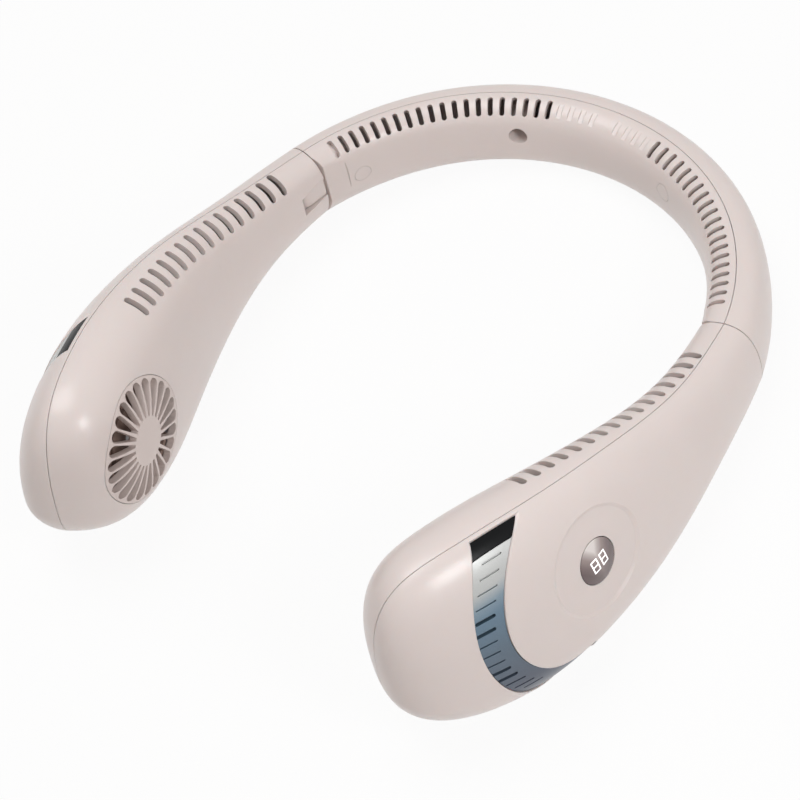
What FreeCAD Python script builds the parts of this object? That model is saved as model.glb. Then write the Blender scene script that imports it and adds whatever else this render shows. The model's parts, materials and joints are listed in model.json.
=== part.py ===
import FreeCAD, Part
import Sketcher
import collections
import math
import os
import types

# Electric neck fan: a horseshoe neckband with two folding arms, each with a blower in its pod.
# Millimetres. +Z is up, the neckband lies towards +Y and the arms reach towards -Y.
# The wearer's left arm is at +X. The fan stands at Z = 0 on its two pods and the back of the band.

SIZES = (
    # Plan of the horseshoe: the neckband is one arc, and each arm a wider arc tangent to it.
    ("band_radius", 77, "neckband spine radius"),
    ("band_half_angle", 77, "neckband angle from the back to each seam, degrees"),
    ("arm_radius", 207, "arm spine radius"),
    ("arm_length", 148, "arm length along its spine"),
    # Widths across the spine, from the back of the neck to the pod.
    ("back_width", 19.2, "neckband width at the back"),
    ("hinge_width", 17.8, "width at the seam"),
    ("wrist_width", 21, "arm width at a fifth of its length"),
    ("root_width", 28.4, "arm width at two fifths"),
    ("belly_width", 38.4, "arm width at three fifths"),
    ("pod_width", 42.8, "arm width at four fifths"),
    # Heights of the upper side and of the underside.
    ("back_top", 25, "top of the neckband at the back"),
    ("hinge_top", 30.4, "top at the seam"),
    ("wrist_top", 36, "top at a fifth of the arm"),
    ("root_top", 49.4, "top at two fifths"),
    ("belly_top", 58.4, "top at three fifths"),
    ("pod_top", 64.8, "top at four fifths"),
    ("hinge_lift", 2.8, "underside at the seam"),
    ("wrist_lift", 4.5, "underside at a fifth of the arm"),
    ("root_lift", 0, "underside at two fifths"),
    ("tip_height", 29.7, "height of the pod's tip"),
    ("tip_bluntness", 0.75, "share of the pod's section that the tip keeps"),
    # Character of the sections.
    ("hinge_lean", 7.2, "inward lean of the section at the seam, degrees"),
    ("pod_lean", 5.2, "inward lean of the section at the pod, degrees"),
    ("band_fullness", 0.68, "roundness of the neckband section, 0.55 is an ellipse"),
    ("arm_fullness", 0.64, "roundness of the arm section's inner half"),
    ("outer_fullness", 0.52, "roundness of the arm section's outer half"),
    ("outer_share", 0.44, "share of the pod's width outward of the crest"),
    ("arm_waist", 0.31, "height of the widest line, as a share of the section"),
    # Walls and clearances.
    ("wall", 2, "wall of the covers"),
    ("seam_gap", 0.3, "gap between neckband and arm"),
    ("parting_gap", 0.16, "gap between inner and outer covers"),
    ("parting_offset", 1, "parting surface outward of the spine"),
    ("fit_gap", 0.15, "clearance of a piece seated in a cover"),
    ("bond_gap", 0.02, "clearance of a pressed or glued piece"),
    ("run_gap", 0.05, "radial clearance of a turning pin or shaft"),
    ("root_bite", 0.5, "how deep a boss is rooted in a wall"),
    # Air slots along the arms and the neckband.
    ("arm_slot_count", 16, "air slots in each arm"),
    ("arm_slot_first", 15, "first arm slot from the seam"),
    ("arm_slot_pitch", 4.96, "pitch of the arm slots"),
    ("arm_slot_turn", 1.215, "arm slot place round the section, 1 is the crest and 2 the inner side"),
    ("arm_slot_long", 8.2, "length of an arm slot"),
    ("arm_slot_wide", 2.2, "width of an arm slot"),
    ("band_slot_count", 20, "open air slots on each half of the neckband"),
    ("band_blind_count", 4, "blind slots on each half of the neckband"),
    ("band_slot_first", 95, "first band slot from the back, along the spine"),
    ("band_slot_pitch", 3.93, "pitch of the band slots"),
    ("band_slot_turn", 1.25, "band slot place round the section"),
    ("band_slot_long", 6, "length of a band slot"),
    ("band_slot_wide", 1.6, "width of a band slot"),
    ("blind_depth", 0.35, "depth of a blind slot"),
    # Screw wells in the neckband.
    ("well_back", 30.9, "open screw well from the back, along the spine"),
    ("well_side", 88.8, "plugged screw well from the back"),
    ("well_height", 16.4, "height of the screw wells"),
    ("well_radius", 2.9, "bore of a screw well"),
    ("well_wall", 1, "wall of a screw well"),
    ("well_floor", -2, "seat of the screw head, outward of the spine"),
    ("well_meet", 1, "where well and boss meet, outward of the spine"),
    ("plug_thick", 1.4, "thickness of a well plug"),
    ("band_screw_radius", 1, "band screw shank radius"),
    ("band_screw_long", 8, "band screw shank length"),
    ("band_head_radius", 2.3, "band screw head radius"),
    ("band_head_thick", 1.5, "band screw head thickness"),
    # Wires in the neckband.
    ("wiring_radius", 1.5, "radius of the wire bundle"),
    ("wiring_height", 7.2, "height of the wire bundle"),
    ("wiring_stop", 0.4, "wire bundle short of the hinge bracket"),
    # Folding hinge.
    ("pin_reach", 6, "hinge pin from the seam, along the arm"),
    ("pin_depth", 4.2, "hinge pin under the inner face"),
    ("pin_radius", 1.2, "hinge pin radius"),
    ("pin_end", 3.6, "hinge pin in each ear"),
    ("knuckle_radius", 3.6, "radius of the tongue about the pin"),
    ("knuckle_height", 20, "height of the tongue's middle"),
    ("tongue_tall", 7, "tongue height"),
    ("tongue_gap", 0.25, "clearance above and below the tongue"),
    ("tongue_room", 0.5, "clearance round the tongue's end"),
    ("bracket_long", 9, "hinge bracket length in the neckband"),
    ("block_long", 13, "hinge block length in the arm"),
    ("duct_inner", 0.6, "air window in the hinge, inner edge from the spine"),
    ("duct_outer", 5.2, "air window in the hinge, outer edge from the spine"),
    ("duct_low", 10, "air window in the hinge, lower edge"),
    ("duct_high", 25, "air window in the hinge, upper edge"),
    ("fold_angle", 15, "how far an arm folds inward, degrees"),
    ("scoop_deep", 1.2, "depth of the relief on the neckband's inner end"),
    ("scoop_long", 8.5, "length of that relief"),
    # Louvre ring on the outer cover.
    ("louvre_station", 94.1, "centre of the louvre ring along the arm"),
    ("louvre_height", 36, "height of the ring's centre"),
    ("louvre_inner", 23.7, "inner radius of the ring"),
    ("louvre_outer", 32.6, "outer radius of the ring"),
    ("louvre_recess", 0.4, "depth of the ring below the cover"),
    ("louvre_strip", 1.1, "cover left between the ring and the parting line"),
    ("louvre_count", 14, "slots in the ring"),
    ("louvre_first", 51.4, "angle of the first slot, degrees"),
    ("louvre_step", 7.2, "angle between slots, degrees"),
    ("louvre_slot_long", 6.2, "length of a louvre slot"),
    ("louvre_slot_wide", 1.1, "width of an open louvre slot"),
    ("louvre_groove_wide", 0.5, "width of a blind louvre groove"),
    ("louvre_groove_deep", 0.7, "depth of a blind louvre groove"),
    ("window_edge", 2.1, "outer edge of the dark window, outward of the spine"),
    ("window_slant", 4.2, "turn of that edge towards the spine at the pod, degrees"),
    # Intake grille.
    ("grille_station", 120.5, "grille centre along the arm"),
    ("grille_turn", 1.81, "grille centre round the section"),
    ("grille_radius", 18.4, "grille radius"),
    ("grille_hub", 7.2, "radius of the plain middle"),
    ("grille_rim", 0.7, "plain rim outside the openings"),
    ("grille_count", 24, "openings in the grille"),
    ("grille_rib", 1.05, "width of a rib between openings"),
    ("grille_reach", 14, "how far the curved pod falls away across the grille"),
    # Blower stack, as depths below the grille's face.
    ("impeller_front", 7, "front of the impeller"),
    ("impeller_tall", 8, "impeller height"),
    ("impeller_radius", 14, "impeller radius"),
    ("impeller_disc", 1.2, "thickness of the impeller's disc"),
    ("vane_count", 22, "vanes on the impeller"),
    ("vane_thick", 0.9, "vane thickness"),
    ("vane_inner", 9.6, "inner end of the vanes"),
    ("vane_skew", 24, "backward lean of the vanes, degrees"),
    ("hub_radius", 8.2, "rotor cup radius"),
    ("hub_wall", 1.1, "rotor cup wall"),
    ("housing_gap", 1.4, "impeller to housing wall"),
    ("housing_wall", 1.6, "housing wall"),
    ("plate_gap", 0.8, "impeller to housing plate"),
    ("plate_thick", 2, "housing plate"),
    ("outlet_wide", 20, "width of the housing's outlet"),
    ("magnet_thick", 0.6, "magnet ring thickness"),
    ("magnet_tall", 4.6, "magnet ring height"),
    ("air_gap", 0.4, "magnet to stator"),
    ("stator_tall", 5.4, "stator height"),
    ("bush_radius", 2.2, "motor bush radius"),
    ("bush_stand", 1.2, "bush above the stator"),
    ("shaft_radius", 1, "motor shaft radius"),
    ("screw_radius", 0.8, "small screw shank radius"),
    ("screw_long", 4, "small screw shank length"),
    ("screw_head_radius", 1.5, "small screw head radius"),
    ("screw_head_thick", 1, "small screw head thickness"),
    ("motor_screw_circle", 4.1, "motor screw circle radius"),
    ("motor_screw_count", 3, "screws in each motor"),
    # Battery and its cradle.
    ("battery_radius", 6.5, "battery radius"),
    ("battery_long", 46, "battery length"),
    ("battery_station", 51.8, "battery middle along the arm"),
    ("battery_shift", -1, "battery outward of the spine"),
    ("battery_height", 15, "height of the battery's axis"),
    ("cradle_long", 34, "cradle length"),
    ("cradle_half", 8.2, "half width of the cradle"),
    ("cradle_drop", 2, "cradle top below the battery's axis"),
    # Display button, as depths below the outer cover's face.
    ("display_station", 85.4, "display centre along the arm"),
    ("display_turn", 0.31, "display centre round the section, 0 is the outer side and 1 the crest"),
    ("dish_radius", 17.5, "radius of the dish round the display"),
    ("dish_depth", 0.8, "depth of the dish"),
    ("dish_flare", 1.2, "widening of the dish's rim"),
    ("button_radius", 6.5, "radius of the display button"),
    ("button_gap", 0.2, "clearance round the button"),
    ("button_rise", 0.9, "height of the button's dome"),
    ("button_travel", 0.6, "travel of the button"),
    ("button_flange", 1.2, "flange beyond the button"),
    ("flange_depth", 4.6, "top of the button's flange"),
    ("flange_thick", 1, "thickness of the flange"),
    ("sleeve_wall", 1.2, "wall of the guide sleeve"),
    ("display_gap", 0.3, "pressed button to display"),
    ("display_long", 8.4, "display module length along the arm"),
    ("display_wide", 6, "display module width"),
    ("display_thick", 2.4, "display module thickness"),
    ("switch_offset", 6, "switch from the button's axis"),
    ("switch_wide", 2.6, "switch body width"),
    ("switch_thick", 1.9, "switch body thickness"),
    ("stem_radius", 0.7, "switch stem radius"),
    ("stem_long", 1.4, "switch stem length"),
    ("board_long", 27, "display board length along the arm"),
    ("board_wide", 18, "display board width"),
    ("board_thick", 1.2, "circuit board thickness"),
    ("post_radius", 2.1, "board post radius"),
    ("post_spread", 10.9, "board posts from the button's axis"),
    # Charging inlet under the left arm.
    ("inlet_station", 85.2, "charging inlet along the arm"),
    ("inlet_out", 6.5, "charging inlet outward of the spine"),
    ("inlet_face", 2, "height of the inlet's mouth"),
    ("inlet_long", 8.9, "inlet shell width"),
    ("inlet_wide", 3.2, "inlet shell thickness"),
    ("inlet_tall", 7.3, "inlet shell depth"),
    ("inlet_sheet", 0.3, "inlet shell sheet"),
    ("inlet_tongue", 0.7, "contact tongue thickness"),
    ("charge_long", 19, "charging board length along the arm"),
    ("charge_wide", 8, "charging board width"),
    ("charge_spread", 7.2, "charging board posts from the inlet"),
)

doc = FreeCAD.newDocument("NeckFan")
sheet = doc.addObject("Spreadsheet::Sheet", "Sizes")
for row, (alias, value, meaning) in enumerate(SIZES, 1):
    sheet.set(f"A{row}", meaning)
    sheet.set(f"B{row}", str(value))
    sheet.setAlias(f"B{row}", alias)
doc.recompute()
dim = types.SimpleNamespace(**{alias: float(sheet.get(alias)) for alias, value, meaning in SIZES})

V = FreeCAD.Vector
UP = V(0, 0, 1)
FLIPPED = FreeCAD.Placement(V(), FreeCAD.Rotation(V(1, 0, 0), 180))
BAND_SPANS = 10
ARM_SPANS = 5
ARM_SHARES = (0.0, 0.2, 0.4, 0.6, 0.8)
REACH = 200.0
FOLD_MARGIN = 1.2
HALVINGS = 40
NODES = {}


# Plan of the horseshoe

seam_angle = math.radians(dim.band_half_angle)
half_seam = dim.seam_gap / 2 / dim.band_radius
band_end = seam_angle - half_seam
arm_start = seam_angle + half_seam


def heading(angle):
    """Outward and forward directions at an angle round from the back of the neck."""
    return V(math.sin(angle), math.cos(angle), 0), V(math.cos(angle), -math.sin(angle), 0)


arm_centre = heading(arm_start)[0] * (dim.band_radius - dim.arm_radius)


def arm_station(along):
    """Spine point, outward and forward directions at a distance along the left arm."""
    outward, forward = heading(arm_start + along / dim.arm_radius)
    return arm_centre + outward * dim.arm_radius, outward, forward


def between(shares, values, share):
    """Straight-line reading of values given at shares, held level outside them."""
    if share <= shares[0]:
        return values[0]
    for low, high, first, last in zip(shares, shares[1:], values, values[1:]):
        if share <= high:
            return first + (last - first) * (share - low) / (high - low)
    return values[-1]


ARM_WIDTHS = (dim.hinge_width, dim.wrist_width, dim.root_width, dim.belly_width, dim.pod_width)
ARM_TOPS = (dim.hinge_top, dim.wrist_top, dim.root_top, dim.belly_top, dim.pod_top)
ARM_LIFTS = (dim.hinge_lift, dim.wrist_lift, dim.root_lift, 0.0, 0.0)


Section = collections.namedtuple("Section", "outer inner top low lean outer_full inner_full waist")


def arm_section(share):
    """Outer and inner half widths, heights and character of the arm at a share of its length."""
    width, top, low = [between(ARM_SHARES, row, share) for row in (ARM_WIDTHS, ARM_TOPS, ARM_LIFTS)]
    outer = width * between((0.0, 0.6), (0.5, dim.outer_share), share)
    lean = between((0.0, 0.6), (dim.hinge_lean, dim.pod_lean), share)
    outer_full = between((0.0, 0.4), (dim.band_fullness, dim.outer_fullness), share)
    inner_full = between((0.0, 0.4), (dim.band_fullness, dim.arm_fullness), share)
    waist = between((0.0, 0.4), (0.5, dim.arm_waist), share)
    return Section(outer, width - outer, top, low, lean, outer_full, inner_full, waist)


def band_section(share):
    """The same for the neckband, at a signed share of its half length from the back."""
    k = share * share
    half = (dim.back_width + (dim.hinge_width - dim.back_width) * k) / 2
    top = dim.back_top + (dim.hinge_top - dim.back_top) * k
    full = dim.band_fullness
    return Section(half, half, top, dim.hinge_lift * k, dim.hinge_lean * k, full, full, 0.5)


# Spline nets

def spread(spans):
    """Shares of the length at which a clamped cubic net's rows lie."""
    knots = [0] * 3 + list(range(spans + 1)) + [spans] * 3
    return [sum(knots[i + 1:i + 4]) / 3 / spans for i in range(spans + 3)]


def waist_height(section):
    return section.low + (section.top - section.low) * section.waist


def section_loop(spot, outward, section, inset):
    """Four curved quarters of a section: outer side, crest, inner side, underside and back."""
    middle = waist_height(section)
    centre = spot + UP * middle
    rise = UP - outward * math.tan(math.radians(section.lean))
    arms = [outward * (section.outer - inset), rise * (section.top - inset - middle),
            outward * (inset - section.inner), rise * (section.low + inset - middle)]
    fulls = [section.outer_full, section.inner_full, section.inner_full, section.outer_full]
    return [[centre + a, centre + a + b * full, centre + b + a * full, centre + b]
            for a, b, full in zip(arms, arms[1:] + arms[:1], fulls)]


def straight_loop(corners):
    """Four straight sides through four corners."""
    return [[a, a + (b - a) / 3, b + (a - b) / 3, b] for a, b in zip(corners, corners[1:] + corners[:1])]


def strip(rows):
    """Cubic spline surface with one row of four poles for each section."""
    spans = len(rows) - 3
    counts = [4] + [1] * (spans - 1) + [4]
    surface = Part.BSplineSurface()
    surface.buildFromPolesMultsKnots(rows, counts, [4, 4], [float(i) for i in range(spans + 1)], [0.0, 1.0],
                                     False, False, 3, 3)
    return surface


def strips(loops, tip=None):
    """The four strips of a net, closed to a point where a tip is given."""
    last = [[tip] * 4] if tip else []
    return [strip([loop[side] for loop in loops] + last) for side in range(4)]


def end_face(loop):
    edges = []
    for poles in loop:
        curve = Part.BezierCurve()
        curve.setPoles(poles)
        edges.append(curve.toShape())
    return Part.Face(Part.Wire(edges))


def net_solid(loops, tip=None):
    """Closed solid inside a net."""
    faces = [surface.toShape() for surface in strips(loops, tip)]
    faces.append(end_face(loops[0]))
    if tip is None:
        faces.append(end_face(loops[-1]))
    shell = Part.makeShell(faces)
    shell.sewShape()
    solid = Part.Solid(shell.Shells[0])
    if solid.Volume < 0:
        solid.reverse()
    return solid


def arm_loops(inset, start):
    """Rows of the arm's net and its tip, moved inward by an inset."""
    reach = dim.arm_length - inset - start
    loops = []
    for share in spread(ARM_SPANS)[:-2]:
        along = start + share * reach
        spot, outward, _ = arm_station(along)
        loops.append(section_loop(spot, outward, arm_section(along / dim.arm_length), inset))
    spot, outward, _ = arm_station(start + reach)
    end = arm_section(1.0)
    keep = dim.tip_bluntness
    tall = (end.top - end.low - 2 * inset) * keep
    blunt = end._replace(outer=(end.outer - inset) * keep, inner=(end.inner - inset) * keep,
                         top=dim.tip_height + tall * (1 - end.waist), low=dim.tip_height - tall * end.waist)
    loops.append(section_loop(spot, outward, blunt, 0.0))
    return loops, spot + UP * dim.tip_height


def arm_form(inset, start=0.0):
    """The left arm's outer form, or that form moved inward, from a distance along the arm."""
    loops, tip = arm_loops(inset, start)
    return net_solid(loops, tip)


def band_loops(inset, past):
    ends = band_end + past / dim.band_radius
    loops = []
    for share in spread(BAND_SPANS):
        angle = (2 * share - 1) * ends
        outward = heading(angle)[0]
        section = band_section(angle / band_end)
        loops.append(section_loop(outward * dim.band_radius, outward, section, inset))
    return loops


def band_form(inset, past=0.0):
    """The neckband's outer form, or that form moved inward, run past its ends."""
    return net_solid(band_loops(inset, past))


def parting_block(rows, side, margin=0.0):
    """Everything on one side of the parting surface, less half the parting gap and a margin.

    rows holds a spine point, its outward direction and its section for each row.
    side is 1 for the outer side and -1 for the inner side."""
    loops = []
    floor, roof = -dim.pod_top, 2 * dim.pod_top
    edge = dim.parting_offset + side * (dim.parting_gap / 2 + margin)
    for spot, outward, section in rows:
        middle = waist_height(section)
        slope = math.tan(math.radians(section.lean))
        far = outward * (side * 2 * dim.pod_width)
        foot = spot + outward * (edge - slope * (floor - middle)) + UP * floor
        head = spot + outward * (edge - slope * (roof - middle)) + UP * roof
        loops.append(straight_loop([foot, foot + far, head + far, head]))
    return net_solid(loops)


def arm_rows():
    """Rows of the arm's parting surface, run past both ends of the arm."""
    count = ARM_SPANS + 3
    rows = []
    for i in range(count):
        along = -dim.wall + (dim.arm_length + 4 * dim.wall) * i / (count - 1)
        spot, outward, _ = arm_station(along)
        rows.append((spot, outward, arm_section(along / dim.arm_length)))
    return rows


def band_rows():
    rows = []
    for share in spread(BAND_SPANS):
        angle = (2 * share - 1) * (band_end + dim.wall / dim.band_radius)
        outward = heading(angle)[0]
        rows.append((outward * dim.band_radius, outward, band_section(angle / band_end)))
    return rows


# Places on the forms

ARM_SKIN = strips(*arm_loops(0.0, 0.0))
BAND_SKIN = strips(band_loops(0.0, 0.0))


def skin_frame(skin, u, turn):
    """Placement on a net: X along it, Y round the section and Z outward."""
    surface = skin[int(turn) % 4]
    v = turn - math.floor(turn)
    along, around = surface.tangent(u, v)
    normal = around.cross(along).normalize()
    rotation = FreeCAD.Rotation(along, normal.cross(along), normal, "ZXY")
    return FreeCAD.Placement(surface.value(u, v), rotation)


def on_arm(along, turn):
    return skin_frame(ARM_SKIN, ARM_SPANS * along / dim.arm_length, turn)


def on_band(along, turn):
    """Placement on the neckband at a signed distance from the back."""
    return skin_frame(BAND_SKIN, BAND_SPANS * (1 + along / (dim.band_radius * band_end)) / 2, turn)


def arm_upright(along, out=0.0, height=0.0):
    """Placement in the arm: X forward, Y outward and Z up."""
    spot, outward, forward = arm_station(along)
    return FreeCAD.Placement(spot + outward * out + UP * height, FreeCAD.Rotation(forward, outward, UP, "ZXY"))


def band_radial(along, height):
    """Placement in the neckband: Z outward from the spine."""
    outward, forward = heading(along / dim.band_radius)
    return FreeCAD.Placement(outward * dim.band_radius + UP * height,
                             FreeCAD.Rotation(forward, UP * -1, outward, "ZXY"))


def shifted(frame, x=0.0, y=0.0, z=0.0, spin=0.0):
    """A frame moved along its own axes and turned about its own Z."""
    return frame.multiply(FreeCAD.Placement(V(x, y, z), FreeCAD.Rotation(UP, spin)))


# Tools for cutting, each made at the origin and set in a frame

def box_tool(frame, x, y, z):
    """Box between pairs of local limits."""
    shape = Part.makeBox(x[1] - x[0], y[1] - y[0], z[1] - z[0], V(x[0], y[0], z[0]))
    shape.Placement = frame
    return shape


def rod_tool(frame, radius, low, high):
    """Cylinder along the frame's Z between two local heights."""
    shape = Part.makeCylinder(radius, high - low, V(0, 0, low))
    shape.Placement = frame
    return shape


def tube_tool(frame, inner, outer, low, high):
    return rod_tool(frame, outer, low, high).cut(rod_tool(frame, inner, low, high))


def slot_tool(frame, long, wide, low, high, spin=0.0):
    """Round-ended slot along the frame's Y, or turned from it, between two local heights."""
    r = wide / 2
    e = max(long / 2 - r, 0.01 * wide)
    sides = [Part.LineSegment(V(r, -e, low), V(r, e, low)),
             Part.Arc(V(r, e, low), V(0, e + r, low), V(-r, e, low)),
             Part.LineSegment(V(-r, e, low), V(-r, -e, low)),
             Part.Arc(V(-r, -e, low), V(0, -e - r, low), V(r, -e, low))]
    face = Part.Face(Part.Wire([side.toShape() for side in sides]))
    shape = face.extrude(V(0, 0, high - low))
    shape.Placement = shifted(frame, spin=spin)
    return shape


def wedge_tool(frame, corners, low, high):
    """Upright prism on a plan polygon given in a frame."""
    face = Part.Face(Part.makePolygon([V(x, y, low) for x, y in corners + corners[:1]]))
    shape = face.extrude(V(0, 0, high - low))
    shape.Placement = frame
    return shape


# Document objects

def feature(label, shape):
    """A piece whose shape comes from spline forms."""
    item = doc.addObject("Part::Feature", label)
    item.Shape = shape
    return node(label, item)


def node(label, item):
    """Name a piece of the fan."""
    item.Label = label
    NODES[label] = item
    return item


def bound(kind, placement=None, **expressions):
    """A Part primitive or boolean whose properties follow cells of the sheet."""
    item = doc.addObject("Part::" + kind, kind)
    for name, expression in expressions.items():
        item.setExpression(name, expression)
    if placement:
        item.Placement = placement
    return item


def cylinder(radius, height, placement=None):
    return bound("Cylinder", placement, Radius=radius, Height=height)


def cut(base, tool, placement=None):
    item = bound("Cut", placement)
    item.Base = base
    item.Tool = tool
    return item


def fuse(shapes, placement=None):
    item = bound("MultiFuse", placement)
    item.Shapes = shapes
    return item


def group(shapes):
    """Identical loose pieces kept as one node."""
    item = doc.addObject("Part::Compound", "Compound")
    item.Links = shapes
    return item


def mirrored(left):
    """The right arm's copy of a left piece."""
    item = doc.addObject("Part::Mirroring", "Mirroring")
    item.Source = NODES[left]
    item.Normal = V(1, 0, 0)
    return node(left.replace("left", "right"), item)


def screw(radius, long, head_radius, head_thick, frame):
    """Screw whose head stands on the frame's XY plane, with its shank below."""
    below = UP * -getattr(dim, long.split(".")[1])
    shank = cylinder(radius, long, FreeCAD.Placement(below, FreeCAD.Rotation()))
    head = cylinder(head_radius, head_thick)
    return fuse([shank, head], frame)


def small_screw(frame):
    return screw("Sizes.screw_radius", "Sizes.screw_long",
                 "Sizes.screw_head_radius", "Sizes.screw_head_thick", frame)


# Forms that the pieces are cut from

arm_outer = arm_form(0.0)
arm_cavity = arm_form(dim.wall, -dim.wall)
arm_inside = arm_form(dim.wall + dim.fit_gap)
arm_anchor = arm_form(dim.wall - dim.root_bite)
arm_shell = arm_outer.cut(arm_cavity)
arm_inner_side = parting_block(arm_rows(), -1)
arm_outer_side = parting_block(arm_rows(), 1)
arm_inner_half = arm_shell.common(arm_inner_side)
band_outer = band_form(0.0)
band_cavity = band_form(dim.wall, dim.wall)
band_inside = band_form(dim.wall + dim.fit_gap)
band_anchor = band_form(dim.wall - dim.root_bite)
band_shell = band_outer.cut(band_cavity)

hinge = arm_upright(0.0)
pin_out = dim.pin_depth - dim.hinge_width / 2
pin_frame = shifted(hinge, dim.pin_reach, pin_out, dim.knuckle_height)
blower = on_arm(dim.grille_station, dim.grille_turn)
display = on_arm(dim.display_station, dim.display_turn)
ring = arm_upright(dim.louvre_station, 0.0, dim.louvre_height)
inlet = arm_upright(dim.inlet_station, dim.inlet_out)
tongue_half = dim.tongue_tall / 2
notch_half = tongue_half + dim.tongue_gap


# Neckband covers

def band_wells():
    """Frames of the four screw wells, from the left side of the neckband to the right."""
    return [band_radial(along, dim.well_height)
            for along in (dim.well_side, dim.well_back, -dim.well_back, -dim.well_side)]


def mirror_plan(shape):
    return shape.mirror(V(0, 0, 0), V(1, 0, 0))


def band_slot_tools():
    """Open slots from each seam towards the back, and blind ones in the same row."""
    tools = []
    for i in range(int(dim.band_slot_count + dim.band_blind_count)):
        along = dim.band_slot_first - i * dim.band_slot_pitch
        depth = 2 * dim.wall if i < dim.band_slot_count else dim.blind_depth
        frame = on_band(along, dim.band_slot_turn)
        tools.append(slot_tool(frame, dim.band_slot_long, dim.band_slot_wide, -depth, dim.wall))
    return tools + [mirror_plan(tool) for tool in tools]


def seam_relief():
    """Room on the neckband's inner end for the arm's edge as it folds, and the scooped face beside it."""
    face = -dim.hinge_width / 2
    back = -dim.seam_gap
    spare = dim.wall
    inner = face - spare
    swing = (pin_out - inner) * math.tan(math.radians(FOLD_MARGIN * dim.fold_angle))
    swept = [(back, pin_out), (back - swing, inner), (spare, inner), (spare, pin_out)]
    sag = dim.scoop_long ** 2 / (2 * dim.band_radius - dim.hinge_width)
    slope = (dim.scoop_deep + sag) / dim.scoop_long
    scoop = [(spare, face + dim.scoop_deep + slope * spare), (-dim.scoop_long, face - sag),
             (-dim.scoop_long, inner - sag), (spare, inner - sag)]
    return wedge_tool(hinge, swept, -REACH, REACH).fuse(wedge_tool(hinge, scoop, -REACH, REACH))


def make_band_covers():
    rows = band_rows()
    wells = band_wells()
    outside = -dim.back_width
    inner = band_shell.common(parting_block(rows, -1))
    outer = band_shell.common(parting_block(rows, 1))
    sleeves = [rod_tool(frame, dim.well_radius + dim.well_wall, outside, dim.well_meet).common(band_anchor)
               for frame in wells]
    inner = inner.fuse(sleeves)
    bores = [rod_tool(frame, dim.well_radius, outside, dim.well_floor) for frame in wells]
    holes = [rod_tool(frame, dim.band_screw_radius + dim.fit_gap, outside, dim.well_meet + dim.wall)
             for frame in wells]
    relief = seam_relief()
    inner = inner.cut(bores + holes + band_slot_tools() + [relief, mirror_plan(relief)])
    foot = dim.well_meet + dim.parting_gap
    bosses = [rod_tool(frame, dim.well_radius, foot, dim.back_width).common(band_anchor) for frame in wells]
    tip = dim.well_floor + dim.band_screw_long + dim.fit_gap
    pilots = [rod_tool(frame, dim.band_screw_radius + dim.bond_gap, -dim.wall, tip) for frame in wells]
    outer = outer.fuse(bosses).cut(pilots)
    feature("band_inner_cover", inner)
    feature("band_outer_cover", outer)


def make_band_fasteners():
    wells = band_wells()
    screws = []
    for frame in wells:
        seat = shifted(frame, z=dim.well_floor).multiply(FLIPPED)
        screws.append(screw("Sizes.band_screw_radius", "Sizes.band_screw_long",
                            "Sizes.band_head_radius", "Sizes.band_head_thick", seat))
    node("band_screws", group(screws))
    skin = band_outer.cut(band_form(dim.plug_thick, dim.wall))
    plug = dim.well_radius - dim.fit_gap / 2
    plugs = [rod_tool(frame, plug, -dim.back_width, 0.0).common(skin) for frame in (wells[0], wells[1], wells[-1])]
    feature("band_screw_plugs", Part.makeCompound([shape.Solids[0] for shape in plugs]))


def make_band_wiring():
    """Wire bundle round the neckband, from one hinge bracket to the other."""
    short = "(Sizes.bracket_long + Sizes.wiring_stop + Sizes.seam_gap / 2)"
    wiring = bound("Torus", Radius1="Sizes.band_radius", Radius2="Sizes.wiring_radius",
                   Angle3=f"2 * (Sizes.band_half_angle - 180 / pi * {short} / Sizes.band_radius)")
    swing = math.degrees(band_end - (dim.bracket_long + dim.wiring_stop) / dim.band_radius)
    wiring.Placement = FreeCAD.Placement(UP * dim.wiring_height, FreeCAD.Rotation(UP, 90 - swing))
    node("band_wiring", wiring)


# Hinges

def duct_tool(low, high):
    """Air window through the hinge, along the arm."""
    return box_tool(hinge, (low, high), (dim.duct_inner, dim.duct_outer), (dim.duct_low, dim.duct_high))


def make_hinge_bracket():
    """Frame in the neckband's end, with the tongue that reaches into the arm."""
    edge = -dim.seam_gap
    stretch = box_tool(hinge, (edge - dim.bracket_long, edge), (-REACH, REACH), (-REACH, REACH))
    frame = band_inside.common(stretch).cut([duct_tool(-2 * dim.bracket_long, dim.wall), seam_relief()])
    low, high = dim.knuckle_height - tongue_half, dim.knuckle_height + tongue_half
    inside = dim.wall + dim.fit_gap - dim.hinge_width / 2
    neck_inner = max(inside, dim.scoop_deep - dim.hinge_width / 2) + dim.fit_gap
    far = pin_out + dim.knuckle_radius
    neck = box_tool(hinge, (edge - dim.bracket_long / 2, dim.pin_reach), (neck_inner, far), (low, high))
    leaf = box_tool(hinge, (0.0, dim.pin_reach), (pin_out - dim.knuckle_radius, far), (low, high))
    knuckle = rod_tool(pin_frame, dim.knuckle_radius, -tongue_half, tongue_half)
    bore = rod_tool(pin_frame, dim.pin_radius + dim.run_gap, -dim.tongue_tall, dim.tongue_tall)
    feature("left_hinge_bracket", frame.fuse([neck, leaf, knuckle]).cut(bore))
    mirrored("left_hinge_bracket")


def hinge_notch():
    """Room in the arm for the tongue."""
    end = dim.pin_reach + dim.knuckle_radius + dim.tongue_room
    side = pin_out + dim.knuckle_radius + dim.tongue_room
    low, high = dim.knuckle_height - notch_half, dim.knuckle_height + notch_half
    return box_tool(hinge, (-dim.wall, end), (-REACH, side), (low, high))


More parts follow.
